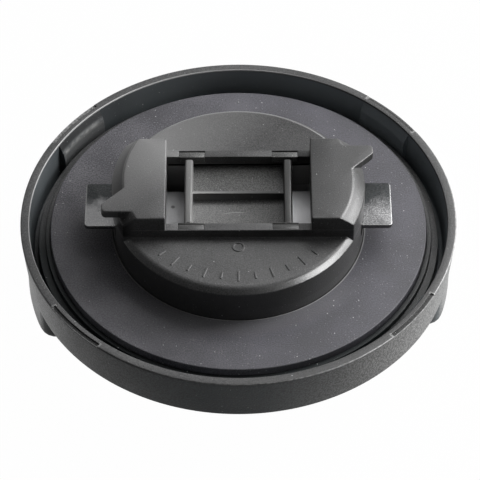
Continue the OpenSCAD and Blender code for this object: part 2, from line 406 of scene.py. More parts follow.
# %% Trim the wing from a turned tower, add its hook and copy it
HAIR = 0.02 * MM
tower = turned("wing", [
    (0, spigot_z - spigot_chamfer - past, 0),
    (spigot_r - past, spigot_z - spigot_chamfer - past, 0),
    (spigot_r + HAIR, spigot_z - spigot_chamfer, 0),
    (spigot_r + HAIR, bevel_z, 0),
    (bevel_r, wing_z, 0),
    (0, wing_z, 0),
])
keep = block("keep", (window_x, -wing_y, 0), (spigot_r + past, wing_y, wing_z + past))
fuse(tower, keep, "INTERSECT")
fuse(tower, plate("hook", hook_outline, wing_z - hook_t, wing_z))
tidy_mesh(tower, 0.01 * MM)
round_edges(tower, wing_edge)
fuse(cap, half_turn_copy(tower))
fuse(cap, tower)
print("wings fused,", len(cap.data.polygons), "faces so far")

# %% [markdown]
# ## Rails beside the window
#
# A low rail runs along each side of the window from wing to wing. Two shallow recesses in its
# top take the clip's snap feet. A block with two smaller blocks cut out of it gives the rail.

# %% Make a rail with its recesses and copy it
rail_w = 1.65 * MM
rail_z = spigot_z + 1.85 * MM
foot_pitch = 16.6 * MM
foot_l = 4.6 * MM
foot_gap = 0.03 * MM
foot_recess = 1.4 * MM
foot_wall = 0.2 * MM
rail_edge = 0.05 * MM

rail = block("rail", (-window_x - sunk, window_y, spigot_z - sunk),
             (window_x + sunk, window_y + rail_w, rail_z))
for side in (-1, 1):
    middle = side * foot_pitch / 2
    reach = foot_l / 2 + foot_gap
    cut(rail, block("recess", (middle - reach, window_y - past, rail_z - foot_recess),
                    (middle + reach, window_y + rail_w - foot_wall, rail_z + past)))
round_edges(rail, rail_edge, segments=2)
fuse(cap, half_turn_copy(rail))
fuse(cap, rail)
print("rails at", round(rail_z / MM, 2), "mm")

# %% [markdown]
# ## Raised marks in front of the window
#
# Moulders put small raised marks on a hidden face, cut with a thin engraving tool in the mould.
# Here they are a plain scale of short strokes along an arc, and one small ring. The strokes are
# copies of one block turned about the axis. All are joined first, so one boolean fuses them.

# %% Set the strokes along an arc and fuse them
mark_r = 18.9 * MM
mark_up = 0.12 * MM
mark_w = 0.32 * MM
mark_step = 9
mark_root = 0.3 * MM
long_stroke = 2.2 * MM
short_stroke = 1.5 * MM
stroke_count = 11
ring_mark_in_r = 0.8 * MM
ring_mark_r = 1.1 * MM
ring_mark_y = -12 * MM

strokes = []
for count in range(stroke_count):
    length = long_stroke if count % 2 else short_stroke
    stroke = block("stroke", (mark_r - length / 2, -mark_w / 2, spigot_z - mark_root),
                   (mark_r + length / 2, mark_w / 2, spigot_z + mark_up))
    turn_about_axis(stroke, mark_step * (count - stroke_count // 2) - 90)
    strokes.append(stroke)
ring_mark = turned("ring_mark", [
    (ring_mark_in_r, spigot_z - mark_root, 0),
    (ring_mark_r, spigot_z - mark_root, 0),
    (ring_mark_r, spigot_z + mark_up, 0),
    (ring_mark_in_r, spigot_z + mark_up, 0),
], steps=32)
ring_mark.location.y = ring_mark_y
pick_only(ring_mark)
bpy.ops.object.transform_apply(location=True, rotation=True, scale=True)
for stroke in strokes:
    stroke.select_set(True)
bpy.ops.object.join()
fuse(cap, ring_mark)
print(len(strokes), "strokes and a ring fused")

# %% [markdown]
# ## The slot for the strip
#
# The strip passes right through the spigot under both wings. One long block cuts the slot.

# %% Cut the slot and finish the moulding
strip_y = strip_high.y
slot_gap = 0.25 * MM
cut(cap, block("slot", (-spigot_r - past, -strip_y - slot_gap, strip_base_z),
               (spigot_r + past, strip_y + slot_gap, ear_z + slot_gap)))
tidy_mesh(cap, 0.002 * MM)
shade(cap)
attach(cap, "root")
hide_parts("cap_body")

# %% [markdown]
# ## The gasket
#
# A flat ring of dark rubber lies on the seat around the spigot. It is turned like the body, with
# soft edges all round.

# %% Turn the gasket
ring_in_r = spigot_r + 0.06 * MM
ring_edge = 0.2 * MM
gasket = turned("gasket_ring", [
    (ring_in_r, seat_z, ring_edge),
    (ring_r, seat_z, ring_edge),
    (ring_r, face_z, ring_edge),
    (ring_in_r, face_z, ring_edge),
])
shade(gasket)
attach(gasket, "root")
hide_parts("gasket")

# %% [markdown]
# ## The locking strip
#
# A strip of spring steel, blanked from sheet and bent twice on each side. Its path is one line of
# points: flat in the middle, a smooth rise, and a flat ear. That line is extruded across the
# strip's width, its four corners are rounded, and Solidify gives it the thickness of the sheet.

# %% Bend the strip
strip_x = strip_high.x
strip_t = 0.85 * MM
strip_dip = 2.05 * MM
half_middle = 13.8 * MM
bend_l = 4.5 * MM
ear_corner = 0.7 * MM
bend_steps = 16
strip_edge = 0.12 * MM


def strip_height(x):
    share = min(max((abs(x) - half_middle) / bend_l, 0), 1)
    return ear_z - strip_dip * (1 + math.cos(math.pi * share)) / 2


bend = [half_middle + bend_l * step / bend_steps for step in range(bend_steps + 1)]
path = [-strip_x] + [-x for x in reversed(bend)] + bend + [strip_x]
strip = draw("strip", [Vector((x, -strip_y, strip_height(x))) for x in path])
bpy.ops.mesh.extrude_region_move(TRANSFORM_OT_translate={"value": (0, 2 * strip_y, 0)})
bpy.ops.mesh.select_all(action="DESELECT")
bpy.ops.object.mode_set(mode="OBJECT")
for corner in strip.data.vertices:
    corner.select = abs(corner.co.x) > strip_x - 0.1 * MM
bpy.ops.object.mode_set(mode="EDIT")
bpy.ops.mesh.bevel(offset=ear_corner, segments=6, affect="VERTICES")
tidy_mesh(strip, WELD)
apply_modifier(strip, "SOLIDIFY", thickness=strip_t, offset=-1)
round_edges(strip, strip_edge, segments=3, sharper_than=50)
shade(strip)
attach(strip, "root")
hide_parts("locking_strip")

# %% [markdown]
# ## The retainer clip
#
# An H of plastic: two bars stand on the strip, a thin web joins them, a rib crosses the web and
# four small feet snap into the rails. The bars' top edges are rounded, so each catches one line
# of light. The blocks are fused into one moulding, and the other edges are broken a little.

# %% Build the clip from its bars, web, rib and feet
bar_pitch = 17.6 * MM
bar_w = 1.5 * MM
bar_round = 0.45 * MM
clip_play = 0.15 * MM
bar_y = window_y - clip_play
bar_z = clip_high.z
web_z = rail_z - 2.3 * MM
web_t = 1.2 * MM
rib_z = rail_z - 0.5 * MM
rib_w = 0.6 * MM
foot_out = window_y + rail_w - foot_wall - clip_play
foot_in = window_y + clip_play - 0.1 * MM
foot_z = rail_z - foot_recess
foot_top_z = rail_z - 0.03 * MM
bar_end = 7.65 * MM
ledge_out = 7.9 * MM
ledge_z = rail_z - 0.12 * MM
web_end = window_y + clip_play - 0.02 * MM
arm_w = 1.2 * MM
arm_t = 0.25 * MM
clip_edge = 0.07 * MM


def clip_bar(x):
    bar = block("bar", (x - bar_w / 2, -bar_end, clip_low.z), (x + bar_w / 2, bar_end, bar_z))
    for side in (-1, 1):
        bevel_where(bar, lambda point: point.z > bar_z - 0.1 * MM and (point.x - x) * side > 0.4 * MM,
                    bar_round, 6)
    return bar


def clip_foot(x, bar_x):
    """A plate in the rail's recess on a narrow arm that comes from below the end of its bar."""
    foot = block("foot", (x - foot_l / 2, foot_in, foot_z), (x + foot_l / 2, foot_out, foot_top_z))
    fuse(foot, block("arm", (bar_x - arm_w / 2, bar_end - sunk, foot_z),
                     (bar_x + arm_w / 2, foot_in + 0.3 * MM, foot_z + arm_t)))
    return foot


clip = block("clip_moulding", (-bar_pitch / 2, -bar_y, web_z - web_t), (bar_pitch / 2, web_end, web_z))
fuse(clip, block("rib", (-bar_pitch / 2, -rib_w / 2, web_z - sunk), (bar_pitch / 2, rib_w / 2, rib_z)))
for side in (-1, 1):
    fuse(clip, clip_bar(side * bar_pitch / 2))
for side in (-1, 1):
    middle = side * foot_pitch / 2
    fuse(clip, block("ledge", (middle - foot_l / 2, -ledge_out, foot_z),
                     (middle + foot_l / 2, -bar_end, ledge_z)))
for side in (-1, 1):
    foot = clip_foot(side * foot_pitch / 2, side * bar_pitch / 2)
    fuse(clip, half_turn_copy(foot))
    fuse(clip, foot)
pick_only(clip)
clip.location.y = -clip_play
bpy.ops.object.transform_apply(location=True, rotation=True, scale=True)
tidy_mesh(clip)
round_edges(clip, clip_edge, segments=2, sharper_than=50)
shade(clip)
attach(clip, "root")
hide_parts("retainer_clip")

# %% [markdown]
# ## Finishes
#
# A finish is a small network of nodes. It could be drawn by hand in the shader editor, but in code
# every length stays readable: a grain of 0.2 mm is a noise scale of 1 / 0.2 mm. Every finish reads
# Object coordinates, so its pattern stays on the piece from any side. The helpers add their nodes
# to the finish that lies on the bench, which is the one being made.

# %% Put a finish on the bench and add nodes to it
bench = {}


def start_finish(name, colour, roughness):
    finish = bpy.data.materials.new(name)
    finish.use_nodes = True
    bench["tree"] = finish.node_tree
    shader = finish.node_tree.nodes["Principled BSDF"]
    shader.inputs["Base Color"].default_value = (*colour, 1)
    shader.inputs["Roughness"].default_value = roughness
    return finish, shader


def add_node(kind, **settings):
    node = bench["tree"].nodes.new(kind)
    for setting, value in settings.items():
        setattr(node, setting, value)
    return node


def join(source, target):
    bench["tree"].links.new(source, target)


def put_on(piece, finish):
    piece.data.materials.clear()
    piece.data.materials.append(finish)
    print(piece.name, "has", finish.name, "with", len(finish.node_tree.nodes), "nodes")


print("the bench is ready")

# %% Nodes that calculate
def calculate(operation, first, second=0):
    node = add_node("ShaderNodeMath", operation=operation)
    for socket, value in zip(node.inputs, (first, second)):
        if isinstance(value, (int, float)):
            socket.default_value = value
        else:
            join(value, socket)
    return node.outputs[0]


def times(first, *others):
    for other in others:
        first = calculate("MULTIPLY", first, other)
    return first


def largest(first, *others):
    for other in others:
        first = calculate("MAXIMUM", first, other)
    return first


def rest_of(share):
    return calculate("SUBTRACT", 1, share)


def gap_from(value, level):
    """How far a value is from a level, on either side of it."""
    return calculate("ABSOLUTE", calculate("SUBTRACT", value, level))


def distance_of(across, along):
    return calculate("SQRT", calculate("ADD", times(across, across), times(along, along)))


def ramp(source, from_low, from_high, to_low=0, to_high=1):
    """Stretches a value from one span onto another, and holds it flat outside the span."""
    node = add_node("ShaderNodeMapRange")
    join(source, node.inputs["Value"])
    for socket, value in zip(("From Min", "From Max", "To Min", "To Max"),
                             (from_low, from_high, to_low, to_high)):
        node.inputs[socket].default_value = value
    return node.outputs["Result"]


print("the helpers that calculate are ready")

# %% Nodes that find the place, and two patterns
def where(kind="Object"):
    """Three coordinates as sockets, and the distance from the upright axis."""
    place = add_node("ShaderNodeTexCoord")
    parts = add_node("ShaderNodeSeparateXYZ")
    join(place.outputs[kind], parts.inputs["Vector"])
    x, y, z = (parts.outputs[axis] for axis in ("X", "Y", "Z"))
    return x, y, z, distance_of(x, y)


def grain(size, detail=2.0):
    """Noise whose blotches are about size across. Gives its factor socket."""
    place = add_node("ShaderNodeTexCoord")
    noise = add_node("ShaderNodeTexNoise")
    noise.inputs["Scale"].default_value = 1 / size
    noise.inputs["Detail"].default_value = detail
    join(place.outputs["Object"], noise.inputs["Vector"])
    return noise.outputs["Fac"]


def specks(spacing, size, share):
    """Sparse bright grains of dust: 1 in a speck, 0 elsewhere. Only a share of the cells has one."""
    place = add_node("ShaderNodeTexCoord")
    cells = add_node("ShaderNodeTexVoronoi")
    cells.inputs["Scale"].default_value = 1 / spacing
    join(place.outputs["Object"], cells.inputs["Vector"])
    near = calculate("LESS_THAN", cells.outputs["Distance"], size / spacing)
    parts = add_node("ShaderNodeSeparateColor")
    join(cells.outputs["Color"], parts.inputs["Color"])
    return times(near, calculate("LESS_THAN", parts.outputs["Red"], share))


print("the patterns are ready")

# %% Nodes that colour and roughen
def grey(tone):
    return (tone, tone, tone)


def blend(amount, first, second):
    node = add_node("ShaderNodeMix", data_type="RGBA")
    sockets = {socket.identifier: socket for socket in node.inputs}
    join(amount, sockets["Factor_Float"])
    for name, value in (("A_Color", first), ("B_Color", second)):
        if isinstance(value, tuple):
            sockets[name].default_value = (*value, 1)
        else:
            join(value, sockets[name])
    return next(socket for socket in node.outputs if socket.identifier == "Result_Color")


def paint(base, amount, colour):
    """Lays a colour over the base wherever the amount is above 0."""
    return blend(amount, base, colour)


def add_bump(shader, height, depth, edge=None):
    bump = add_node("ShaderNodeBump")
    bump.inputs["Distance"].default_value = depth
    bump.inputs["Strength"].default_value = 1
    join(height, bump.inputs["Height"])
    if edge:
        soft = add_node("ShaderNodeBevel", samples=6)
        soft.inputs["Radius"].default_value = edge
        join(soft.outputs["Normal"], bump.inputs["Normal"])
    join(bump.outputs["Normal"], shader.inputs["Normal"])


print("the helpers that colour are ready")

# %% [markdown]
# ## Black nylon with glass fibre
#
# The moulding is dull black nylon. Short glass fibres leave a fine grain on its smooth faces. The
# skirt outside was spark eroded in the mould, so its grain is coarser. Two sizes of noise give the
# grain, a third one the faint clouds, and the same noise drives colour and bump, so they agree.

# %% Start the moulding's finish with its grain
plastic, shader = start_finish("cap_plastic", (0.065, 0.065, 0.066), 0.42)
shader.inputs["Specular IOR Level"].default_value = 0.45
plastic_dark = (0.027, 0.027, 0.028)
plastic_pale = (0.09, 0.09, 0.091)

x, y, z, radius = where()
outside = ramp(radius, skirt_r - 0.4 * MM, skirt_r - 0.1 * MM)
below_lip = ramp(z, lip_z - 0.5 * MM, lip_z - 0.2 * MM, 1, 0)
skirt = times(outside, below_lip)
fine = grain(0.22 * MM)
coarse = grain(0.35 * MM, 3)
cloudy = grain(6 * MM, 3)
add_bump(shader, calculate("ADD", times(fine, 0.3), times(coarse, skirt)), 0.08 * MM, 0.12 * MM)
mottle = calculate("ADD", times(fine, 0.75), times(cloudy, 0.25))
base = blend(ramp(mottle, 0.35, 0.65), plastic_dark, plastic_pale)
print("grain of 0.22 mm, and of 0.35 mm on the skirt")

# %% [markdown]
# ## The rim's inner wall and its pad, with painted light and shade
#
# The wall inside the rim is cleaner and a little blue, and painted light makes it paler toward the
# right and a little paler at the far left. On the pad at the rear left, painted shade darkens the
# sloping top, a painted highlight runs as a pale streak along the bulge, and a mid-grey band lies
# just above the gasket. A patch like this could be painted by hand, but here it follows from height
# and angle, so it stays on the pad when a size changes.

# %% Tint the wall and paint light and shade on the pad
wall_dark = (0.036, 0.041, 0.044)
wall_pale = (0.23, 0.26, 0.275)
pad_shade_black = (0.008, 0.009, 0.01)
pad_painted_highlight = (0.2, 0.2, 0.196)

near_wall = ramp(radius, lip_in_r - 1.6 * MM, lip_in_r - 1.2 * MM)
in_rim = times(below_lip, calculate("SUBTRACT", near_wall, outside))
# Painted light: the wall is painted paler toward the right, and a little paler at the far left.
wall_painted_light = largest(ramp(x, -22 * MM, 14 * MM), ramp(x, -31 * MM, -36 * MM, 0, 0.2))
base = paint(base, in_rim, blend(wall_painted_light, wall_dark, wall_pale))

turn = calculate("ARCTAN2", y, x)
pad_start = math.radians(mark_angles[1])
pad_end = pad_start + math.radians(notch_span)
on_pad = times(calculate("GREATER_THAN", turn, pad_start), calculate("LESS_THAN", turn, pad_end), in_rim)
# A mid-grey band on the pad just above the gasket's face.
base = paint(base, times(on_pad, ramp(z, face_z + 0.3 * MM, face_z, 0, 0.6)), grey(0.08))
# Painted shade: the pad's sloping top above the bulge is painted almost black.
pad_painted_shade = times(on_pad, ramp(z, face_z + 0.2 * MM, face_z + 1 * MM))
base = paint(base, pad_painted_shade, pad_shade_black)
# Painted highlight: a pale streak along the pad's bulge, broken up by noise.
streak = times(ramp(gap_from(z, face_z + 0.1 * MM), 0.05 * MM, 0.7 * MM, 1, 0),
               ramp(grain(1.6 * MM, 4), 0.42, 0.62, 0.15, 1))
base = paint(base, times(on_pad, streak), pad_painted_highlight)
print("toned pad from", mark_angles[1], "to", mark_angles[1] + notch_span, "degrees")

# %% [markdown]
# ## Groove, pocket, spigot wall and hooks
#
# The groove is painted darker, mostly toward the front, and so are the spigot's wall, the hooks and
# the left wing's slope: all painted shade. The pocket lies so far down in shade that its floor gets
# painted light, a much paler tone that grows paler to the right, to be seen at all. Each patch is
# bounded by heights and radii of the moulding, and it fades over a few tenths of a millimetre.

# %% Paint shade into the groove and light into the pocket
groove_shade_colour = (0.018, 0.021, 0.022)

# Painted shade: the groove is painted darker, mostly toward the front.
groove_painted_shade = times(ramp(z, seat_z + 1.2 * MM, seat_z + 0.8 * MM), ramp(y, 8 * MM, -4 * MM),
             ramp(radius, ring_r, ring_r + 0.1 * MM), rest_of(outside), ramp(x, 24 * MM, 36 * MM, 1, 0.5))
base = paint(base, groove_painted_shade, groove_shade_colour)
# Painted light: the pocket's floor is painted pale, paler toward the right.
in_pocket = times(ramp(z, spigot_z - 0.2 * MM, spigot_z - 0.1 * MM, 1, 0), ramp(radius, 18 * MM, 17 * MM))
base = paint(base, in_pocket, blend(ramp(x, -10 * MM, 10 * MM), grey(0.25), grey(0.8)))
print("groove shaded below", round((seat_z + 0.8 * MM) / MM, 2), "mm")

# %% Paint shade on the spigot's wall, the hooks and the left wing's slope
# Painted shade: the spigot's upright wall is painted darker.
spigot_wall_painted_shade = times(ramp(radius, spigot_r - 0.3 * MM, spigot_r - 0.1 * MM, 0, 0.7),
                ramp(radius, spigot_r + 0.4 * MM, spigot_r + 0.2 * MM),
                ramp(z, spigot_z - 1 * MM, spigot_z - 1.3 * MM))
base = paint(base, spigot_wall_painted_shade, grey(0.036))

# Painted shade: the hooks are painted dark, a little lighter toward the right and darkest at the rear
# right.
hook_painted_shade = times(ramp(radius, spigot_r + 0.1 * MM, spigot_r + 0.3 * MM),
                ramp(z, wing_z - 0.25 * MM, wing_z - 0.15 * MM, 1, 0),
                ramp(z, spigot_z + 1 * MM, spigot_z + 1.2 * MM))
to_right = ramp(x, -5 * MM, 5 * MM)
hook_shade_tone = blend(to_right, grey(0.025), grey(0.045))
hook_shade_tone = paint(hook_shade_tone, times(to_right, ramp(y, 8 * MM, 10 * MM)), grey(0.008))
base = paint(base, hook_painted_shade, hook_shade_tone)

# Painted shade: the left wing's sloping bevel is painted almost black.
left_slope_painted_shade = times(ramp(x, -18 * MM, -20 * MM), ramp(z, wing_z - 0.1 * MM, wing_z - 0.3 * MM),
                   ramp(z, spigot_z, spigot_z + 0.5 * MM))
base = paint(base, left_slope_painted_shade, grey(0.012))
print("hooks shaded beyond", round((spigot_r + 0.3 * MM) / MM, 2), "mm from the axis")

# %% [markdown]
# ## Wear, light and shade on the lip
#
# The lip takes the knocks. The notches' floors are painted dark as shade beside their step, except at
# the rear left, where they are scraped pale, and the notches' ends have white nicks. Painted highlights
# run along part of the lip's two edges, and painted shade darkens its top toward the right. The edges
# could get real dents, but at this size a change of tone reads the same and keeps the mesh clean.

# %% Tone the notches and nick their ends
edge_white = grey(0.4)

rear_left = times(ramp(y, 0, 5 * MM), ramp(x, 0, -5 * MM))
notch_floor = times(ramp(z, lip_z - 0.15 * MM, lip_z - 0.08 * MM, 1, 0),
                    ramp(z, lip_z - 0.6 * MM, lip_z - 0.5 * MM),
                    ramp(radius, notch_in_r - 0.04 * MM, notch_in_r))
# Painted shade: each notch floor is painted dark beside its step, except at the rear left, where it is
# scraped pale.
in_notch = times(notch_floor, largest(ramp(radius, lip_r - 0.3 * MM, lip_r - 0.2 * MM, 1, 0), rear_left))
scraped = ramp(grain(0.5 * MM, 3), 0.4, 0.6, 0.09, 0.3)
base = paint(base, in_notch, blend(rear_left, grey(0.02), scraped))

at_lip = ramp(z, lip_z - 0.3 * MM, lip_z - 0.25 * MM)
# Painted shade: the lip's top is painted darker toward the right.
base = paint(base, times(at_lip, ramp(x, -5 * MM, 12 * MM, 0, 0.4)), grey(0.02))
beside_notch = ramp(radius, lip_r - 1.1 * MM, lip_r - 1 * MM)
for start in (mark_angles[0], mark_angles[2] - 360, mark_angles[3] - 360):
    for end in (start, start + notch_span):
        nick = ramp(gap_from(turn, math.radians(end)), 0.004, 0.009, 0.5, 0)
        base = paint(base, times(at_lip, nick, beside_notch), edge_white)
print("nicks at the ends of three notches")

# %% Paint highlights along the lip's two edges
inner_edge_painted_highlight = times(ramp(radius, lip_in_r + 0.16 * MM, lip_in_r + 0.1 * MM),
                   ramp(calculate("SUBTRACT", y, x), 10 * MM, 30 * MM))
outer_edge_painted_highlight = times(ramp(radius, lip_r - 0.22 * MM, lip_r - 0.12 * MM),
                   ramp(calculate("SUBTRACT", x, y), 15 * MM, 40 * MM),
                   ramp(grain(0.8 * MM, 3), 0.35, 0.6, 0.25, 1))
# Painted highlights: pale lines along the inner edge at the rear left and, broken by noise, along the outer
# edge at the front right.
base = paint(base, times(at_lip, largest(inner_edge_painted_highlight, outer_edge_painted_highlight)), grey(0.34))
print("inner edge highlighted at the rear left, outer edge at the front right")

# %% [markdown]
# ## Flat tops and upright walls
#
# The rear of the spigot's face is a shade darker, with a fine grain of its own, and painted shade
# darkens the left wing's top toward its left end in the same way. A painted highlight, a thin pale
# line, runs where the face ends at its chamfer. The walls between face and wing tops are painted black
# as shade.

# %% Tone the tops, the rear line and the walls
dark_grain = blend(ramp(fine, 0.4, 0.6), grey(0.002), (0.045, 0.044, 0.045))

rear_face = times(ramp(z, spigot_z - 0.2 * MM, spigot_z - 0.1 * MM), ramp(y, 0, 20 * MM, 0, 0.6),
                  ramp(x, 15 * MM, 17 * MM, 1, 0))
# Painted shade: the left wing's top is painted darker toward its left end.
left_wing_painted_shade = times(ramp(z, wing_z - 0.2 * MM, wing_z - 0.1 * MM), ramp(x, -8 * MM, -20 * MM, 0, 0.4))
darker_tops = largest(rear_face, left_wing_painted_shade)
base = paint(base, darker_tops, dark_grain)

# Painted highlight: a thin pale line where the face meets its chamfer at the rear.
from_face_end = gap_from(radius, spigot_r - spigot_chamfer - 0.08 * MM)
rear_painted_highlight = times(ramp(from_face_end, 0.08 * MM, 0.16 * MM, 0.6, 0),
                  ramp(z, spigot_z - 0.25 * MM, spigot_z - 0.15 * MM),
                  ramp(z, spigot_z + 0.1 * MM, spigot_z + 0.2 * MM, 1, 0),
                  ramp(y, 8 * MM, 12 * MM), ramp(x, -6 * MM, 12 * MM, 0.12, 0.9))
base = paint(base, rear_painted_highlight, edge_white)

# Painted shade: the upright walls between the spigot's face and the wing tops are painted black.
off_rail = rest_of(ramp(gap_from(z, rail_z), 0.05 * MM, 0.15 * MM, 1, 0))
upright = times(ramp(z, spigot_z + 0.1 * MM, spigot_z + 0.3 * MM, 0, 0.45),
                ramp(z, wing_z - 0.3 * MM, wing_z - 0.2 * MM, 1, 0),
                ramp(radius, spigot_r, spigot_r + 0.1 * MM, 1, 0), off_rail)
base = paint(base, upright, grey(0.012))
print("walls kept black from", round(spigot_z / MM, 2), "to", round(wing_z / MM, 2), "mm")

# %% [markdown]
# ## Skirt, painted light, dust and shine
#
# The skirt's coarse grain is painted paler at the right, as painted light, and a little at the left, as
# a painted reflection, and a line of painted shade runs under the lip's outer edge at the front left.
# Glass fibres and dust show as tiny bright specks everywhere. The shine comes last: rougher and
# smoother clouds, a smoother spigot edge where it has been polished by the neck, and less shine on all
# the places painted dark.

# %% Paint light on the skirt and scatter the specks
skirt_dark = (0.053, 0.066, 0.07)
skirt_painted_pale = (0.29, 0.29, 0.286)

# Painted shade: a dark line along the lip's outer edge at the front left.
under_edge_painted_shade = times(ramp(radius, lip_r - 0.12 * MM, lip_r - 0.06 * MM),
                   ramp(calculate("ADD", x, y), -20 * MM, -35 * MM, 0, 0.5))
base = paint(base, under_edge_painted_shade, grey(0.012))
# Painted light: the skirt is painted paler at the right, and a little at the left as a painted reflection.
skirt_painted_light = times(largest(ramp(x, 4 * MM, 23 * MM), ramp(x, -6 * MM, -28 * MM, 0, 0.6)),
              ramp(x, 31 * MM, 37 * MM, 1, 0.7))
skirt_grain = times(skirt, ramp(coarse, 0.4, 0.6, 0.15, 0.95))
base = paint(base, skirt_grain, blend(skirt_painted_light, skirt_dark, skirt_painted_pale))
fibres = specks(spacing=0.5 * MM, size=0.07 * MM, share=0.25)
dust = specks(spacing=1.5 * MM, size=0.1 * MM, share=0.22)
join(paint(base, largest(times(fibres, 0.35), dust), grey(0.42)), shader.inputs["Base Color"])
print("fibres every 0.5 mm, dust every 1.5 mm")

# %% Set the shine and put the finish on
polished = times(ramp(radius, spigot_r - 1.6 * MM, spigot_r - 1.1 * MM),
                 ramp(radius, spigot_r + 0.2 * MM, spigot_r + 0.1 * MM))
roughness = calculate("SUBTRACT", ramp(cloudy, 0.3, 0.7, 0.38, 0.46), times(polished, 0.1))
join(roughness, shader.inputs["Roughness"])
# Less shine on all the places painted dark.
dull = largest(groove_painted_shade, pad_painted_shade, left_slope_painted_shade, hook_painted_shade, darker_tops, upright,
               times(in_notch, rest_of(rear_left)))
join(ramp(dull, 0, 1, 0.45, 0.15), shader.inputs["Specular IOR Level"])
put_on(cap, plastic)

# %% [markdown]
# ## Rubber
#
# The rubber is matt and a little blue. Painted light makes it paler on the left and near the spigot
# in front and dimmer on the right, a painted highlight runs along its inner lip, and dust lies on it
# in two sizes.

# %% Finish the gasket
rubber, shader = start_finish("gasket_rubber", (0.07, 0.068, 0.076), 0.6)
shader.inputs["Specular IOR Level"].default_value = 0.45
rubber_dark = (0.037, 0.036, 0.043)
rubber_painted_lit_left = (0.14, 0.137, 0.15)
rubber_painted_dim_right = (0.075, 0.073, 0.089)
spigot_painted_light = (0.17, 0.168, 0.178)

x, y, z, radius = where()
fine = grain(0.25 * MM)
mottle = calculate("ADD", times(fine, 0.6), times(grain(9 * MM, 4), 0.4))
# Painted light: the rubber's paler colour is lighter on the left and dimmer on the right.
rubber_painted_light = blend(ramp(x, -28 * MM, 8 * MM), rubber_painted_lit_left, rubber_painted_dim_right)
base = blend(ramp(mottle, 0.4, 0.6), rubber_dark, rubber_painted_light)
# Painted light on the rubber near the spigot in front.
near_spigot = times(ramp(radius, spigot_r + 0.6 * MM, 27 * MM, 0.5, 0), ramp(y, -12 * MM, -20 * MM))
base = paint(base, near_spigot, spigot_painted_light)
# Painted highlight along the rubber's inner lip.
inner_lip_painted_highlight = ramp(radius, ring_in_r + 0.36 * MM, ring_in_r + 0.2 * MM, 0, 0.7)
base = paint(base, inner_lip_painted_highlight, grey(0.35))
large_dust = specks(spacing=1.1 * MM, size=0.1 * MM, share=0.28)
small_dust = specks(spacing=0.5 * MM, size=0.08 * MM, share=0.35)
dust = largest(large_dust, times(small_dust, 0.35))
join(paint(base, dust, grey(0.45)), shader.inputs["Base Color"])
add_bump(shader, fine, 0.03 * MM)
put_on(gasket, rubber)

# %% [markdown]
# ## Blackened spring steel
#
# The strip is blackened spring steel. Its ears carry a painted reflection, bright toward the front
# and black toward the back, the left ear paler than the right. The border between the two is pushed
# to and fro by noise, so it looks uneven and not drawn. Fine scratches show mostly on the bright part,
# the ears' edges get painted highlights, and in the window the strip is painted pale as painted light,
# paler to the right. One dark spot of the blackening is left in the window.

# %% Finish the strip
steel, shader = start_finish("strip_steel", grey(0.1), 0.34)
shader.inputs["Metallic"].default_value = 1
blackening = (0.024, 0.026, 0.027)
reflection_left = (0.17, 0.17, 0.173)
reflection_right = (0.085, 0.085, 0.087)
window_painted_light_left = (0.27, 0.27, 0.275)
window_painted_light_right = (0.45, 0.45, 0.46)
spot_x = -11.7 * MM
spot_y = 1.3 * MM

x, y, z, radius = where()
cloudy = grain(2.2 * MM, 4)
fine = grain(0.25 * MM, 3)
wavy_y = calculate("ADD", y, times(calculate("SUBTRACT", cloudy, 0.5), 9 * MM))
in_window = ramp(radius, 16 * MM, 15 * MM)
# Painted reflection: the ears run from black at the back to bright at the front, the left ear paler than
# the right.
painted_reflection = largest(in_window, times(ramp(wavy_y, 2.2 * MM, -2.2 * MM), ramp(radius, 15 * MM, 16 * MM)))
base = blend(painted_reflection, blackening, blend(ramp(x, -28 * MM, 28 * MM), reflection_left, reflection_right))
# Painted light: in the window the strip is painted pale, paler toward the right.
base = paint(base, in_window, blend(ramp(x, -12 * MM, 12 * MM), window_painted_light_left, window_painted_light_right))

scratched = times(ramp(fine, 0.45, 0.7, 0, 0.6), ramp(painted_reflection, 0, 1, 0.2, 0.7),
                  ramp(radius, 15 * MM, 16 * MM, 0.2, 1))
# Painted highlights along the ears' side and front edges.
side_edge = ramp(gap_from(x, 0), strip_x - 0.3 * MM, strip_x - 0.15 * MM, 0, 0.5)
front_edge = ramp(y, strip_low.y + 0.3 * MM, strip_low.y + 0.15 * MM, 0, 0.4)
base = paint(base, largest(scratched, side_edge, front_edge), grey(0.3))
from_spot = distance_of(gap_from(x, spot_x), gap_from(y, spot_y))
base = paint(base, ramp(from_spot, 0.25 * MM, 0.45 * MM, 0.7, 0), grey(0.03))
join(base, shader.inputs["Base Color"])
roughness = calculate("ADD", ramp(cloudy, 0.35, 0.65, 0.22, 0.32), times(in_window, 0.2))
join(roughness, shader.inputs["Roughness"])
add_bump(shader, fine, 0.03 * MM)
put_on(strip, steel)

# %% [markdown]
# ## The clip's plastic
#
# The clip is the same kind of plastic as the cap, a bit smoother. Its left bar is painted paler than
# its right one, as painted light and shade. Dust has gathered at the rear of the web and below the rib,
# and a faint scratch crosses the web in front: an arc about a far centre, which is what a tool that
# slips would leave.

# %% Finish the clip
clip_plastic, shader = start_finish("clip_plastic", grey(0.06), 0.3)
web_pale = (0.11, 0.11, 0.108)
left_bar_painted_lit = (0.16, 0.16, 0.158)
scratch_x = -0.19 * MM
scratch_y = -13.69 * MM
scratch_r = 10.3 * MM
scratch_middle_x = -0.69 * MM

x, y, z, radius = where()
base = blend(ramp(grain(0.2 * MM, 3), 0.4, 0.6), grey(0.03), web_pale)
on_bars = times(ramp(gap_from(y, 0), 7.5 * MM, 7.7 * MM, 1, 0), ramp(z, web_z + 0.1 * MM, web_z + 0.3 * MM))
